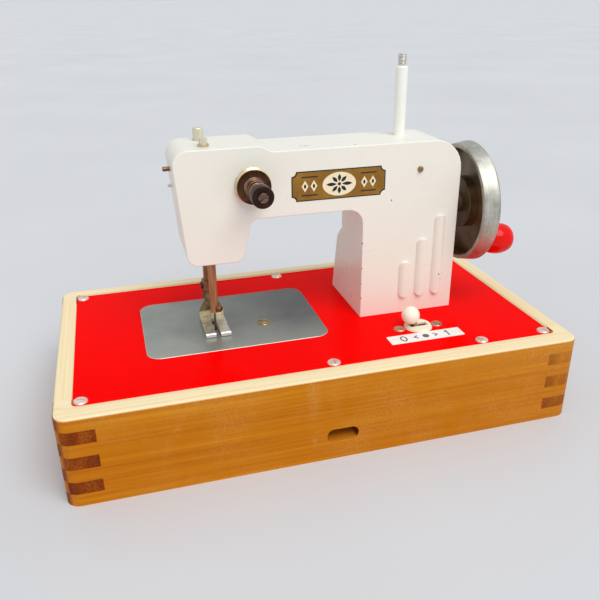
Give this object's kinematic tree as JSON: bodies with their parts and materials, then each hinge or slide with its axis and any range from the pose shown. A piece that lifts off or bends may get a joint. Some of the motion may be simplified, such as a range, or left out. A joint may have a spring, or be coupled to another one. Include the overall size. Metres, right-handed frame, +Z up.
{
  "type": "toy sewing machine",
  "caption": "White toy sewing machine on a finger-jointed wooden box with a red top plate, hand wheel with knob, spool pin, thread tension, presser foot and toggle switch.",
  "frame": {"origin": "middle of the wooden base's underside", "axes": "+X along the base from the needle end to the hand wheel, +Y to the rear, +Z up"},
  "size_m": [0.28, 0.153, 0.1959],
  "materials": {
    "pale_wood": "honey-coloured beech boards, clear satin varnish, fine grain along the board",
    "panel_wood": "brown hardboard panel, unfinished underside",
    "red_enamel": "saturated red gloss enamel on sheet steel, faint scratches",
    "satin_plate": "satin nickelled sheet, dulled by use",
    "white_enamel": "warm white gloss enamel with small dark chips",
    "nickel": "nickelled steel, slightly dulled",
    "spool_white": "moulded white plastic, slight gloss",
    "copper_wire": "copper-coloured plating, tarnished",
    "dark_steel": "blackened steel worn at the edges",
    "brown_disc": "tarnished brass, dark brown with bright rims",
    "brown_knob": "dark brown moulded plastic, slight gloss",
    "zinc_sheet": "zinc-plated sheet steel",
    "bronze": "sintered bronze",
    "bright_shaft": "ground steel bar",
    "turned_aluminium": "turned satin aluminium",
    "red_plastic": "moulded red plastic, high gloss",
    "black_plastic": "black moulded plastic",
    "belt_rubber": "black rubber belt",
    "coppery_steel": "steel bar with a brownish film",
    "brown_screw": "tarnished brass screw",
    "motor_can": "plated motor can",
    "battery_wrap": "plain wrapped flat battery",
    "lead_cover": "plain insulated lead",
    "switch_white": "white moulded plastic",
    "cream_ball": "cream moulded plastic, glossy",
    "brass_rivet": "plain brass"
  },
  "bodies": {
    "base": {"front_board": "pale_wood", "rear_board": "pale_wood", "left_board": "pale_wood", "right_board": "pale_wood", "bottom_panel": "panel_wood", "bottom_panel_screws": "nickel", "top_plate": "red_enamel", "top_plate_screws": "nickel", "needle_plate": "satin_plate", "needle_plate_screw": "brown_screw", "body_shell": "white_enamel", "rear_cover": "white_enamel", "body_screws": "nickel", "spool_pin": "spool_white", "spool_rod": "nickel", "thread_guides": "copper_wire", "tension_stud": "dark_steel", "tension_discs": "brown_disc", "tension_spring": "copper_wire", "shaft_bracket": "zinc_sheet", "bracket_screw": "brown_screw", "bearing_bushes": "bronze", "drive_belts": "belt_rubber", "lever_bracket": "zinc_sheet", "presser_spring": "nickel", "shaft_hangers": "zinc_sheet", "feed_guide": "zinc_sheet", "motor": "motor_can", "motor_cradle": "zinc_sheet", "battery": "battery_wrap", "wiring": "lead_cover", "switch_rosette": "switch_white", "switch_rivets": "brass_rivet", "switch_body": "black_plastic"},
    "hand_wheel": {"main_shaft": "bright_shaft", "hand_wheel": "turned_aluminium", "wheel_nut": "nickel", "handle_pin": "nickel", "crank_disc": "zinc_sheet", "shaft_pulleys": "black_plastic"},
    "handle_knob": {"handle_knob": "red_plastic"},
    "motor_rotor": {"motor_rotor": "black_plastic"},
    "lower_shaft": {"lower_shaft": "bright_shaft", "lower_pulley": "black_plastic", "looper": "nickel", "feed_eccentric": "bronze"},
    "rocking_lever": {"rocking_lever": "zinc_sheet"},
    "needle_bar": {"needle_bar": "coppery_steel", "needle_carrier": "zinc_sheet", "needle_clamp_screw": "brown_screw", "needle": "nickel"},
    "presser_bar": {"presser_bar": "coppery_steel", "presser_collar": "nickel", "presser_foot": "nickel", "presser_foot_screw": "dark_steel"},
    "presser_lifter": {"presser_lifter": "nickel"},
    "tension_knob": {"tension_knob": "brown_knob"},
    "switch_lever": {"switch_lever": "brass_rivet", "switch_ball": "cream_ball"},
    "feed_dog": {"feed_dog": "nickel"}
  },
  "joints": [
    {"name": "hand_wheel_spin", "type": "hinge", "parent": "base", "child": "hand_wheel", "pos_m": [0.075, 0.00525, 0.1095], "axis": [1, 0, 0], "continuous": true},
    {"name": "handle_knob_spin", "type": "hinge", "parent": "hand_wheel", "child": "handle_knob", "pos_m": [0.119, -0.01255, 0.08973], "axis": [1, 0, 0], "continuous": true},
    {"name": "motor_spin", "type": "hinge", "parent": "base", "child": "motor_rotor", "pos_m": [0.08, 0.02075, 0.068], "axis": [1, 0, 0], "continuous": true},
    {"name": "lower_shaft_spin", "type": "hinge", "parent": "base", "child": "lower_shaft", "pos_m": [0, -0.0025, 0.03], "axis": [1, 0, 0], "continuous": true},
    {"name": "lever_rock", "type": "hinge", "parent": "base", "child": "rocking_lever", "pos_m": [0.01, 0.0028, 0.13], "axis": [0, 1, 0], "range_deg": [0, 16.55]},
    {"name": "needle_bar_slide", "type": "slide", "parent": "base", "child": "needle_bar", "axis": [0, 0, 1], "range_m": [0, 0.018]},
    {"name": "lifter_turn", "type": "hinge", "parent": "base", "child": "presser_lifter", "pos_m": [-0.0523, 0.022, 0.1149], "axis": [0, -1, 0], "range_deg": [0, 90]},
    {"name": "presser_bar_slide", "type": "slide", "parent": "base", "child": "presser_bar", "axis": [0, 0, 1], "range_m": [0, 0.006], "deforming": ["presser_spring"]},
    {"name": "tension_knob_turn", "type": "hinge", "parent": "base", "child": "tension_knob", "pos_m": [-0.0291, -0.031, 0.1345], "axis": [0, -1, 0], "range_deg": [-180, 180]},
    {"name": "switch_toggle", "type": "hinge", "parent": "base", "child": "switch_lever", "pos_m": [0.0613, -0.0342, 0.0458], "axis": [0, 1, 0], "range_deg": [0, 50]},
    {"name": "feed_slide", "type": "slide", "parent": "base", "child": "feed_dog", "axis": [0, 1, 0], "range_m": [0, 0.003]}
  ],
  "couplings": [
    {"joint": "motor_spin", "follows": "hand_wheel_spin", "ratio": 3.6667},
    {"joint": "lower_shaft_spin", "follows": "hand_wheel_spin", "ratio": 1},
    {"joint": "needle_bar_slide", "follows": "lever_rock", "m_per_rad": 0.0623},
    {"joint": "lifter_turn", "follows": "presser_bar_slide", "rad_per_m": 261.79}
  ]
}
